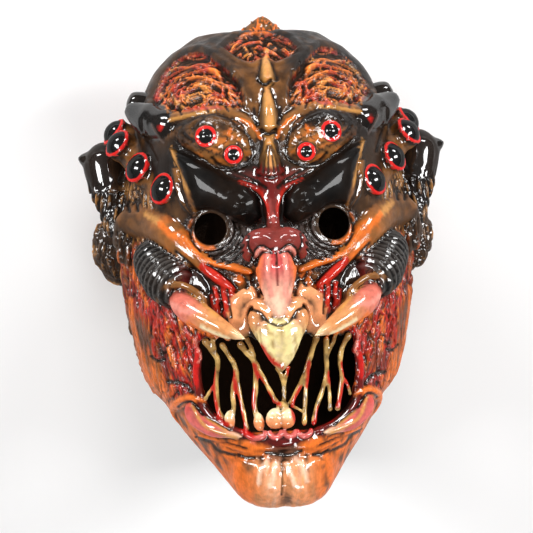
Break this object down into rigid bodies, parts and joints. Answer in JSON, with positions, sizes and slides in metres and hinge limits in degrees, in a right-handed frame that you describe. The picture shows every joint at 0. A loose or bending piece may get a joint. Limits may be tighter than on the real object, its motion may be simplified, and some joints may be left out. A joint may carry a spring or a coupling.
{
  "type": "spider monster mask",
  "caption": "Full-head monster mask with spider eyes, horns, ribbed fangs and a beak over a stringy mouth, cast in thin painted latex.",
  "frame": {"origin": "centre of the footprint of the mask lying on the back of its head, on the surface it lies on", "axes": "+X across the face to the viewer's right, +Y from the chin to the crown, +Z out of the face, up when the mask lies on its back"},
  "size_m": [0.2084, 0.2696, 0.2225],
  "materials": {
    "painted_latex": "glossy lacquer over hand painted black, umber, orange, red and bone colours"
  },
  "bodies": {
    "root": {"mask_shell": "painted_latex"}
  },
  "joints": []
}
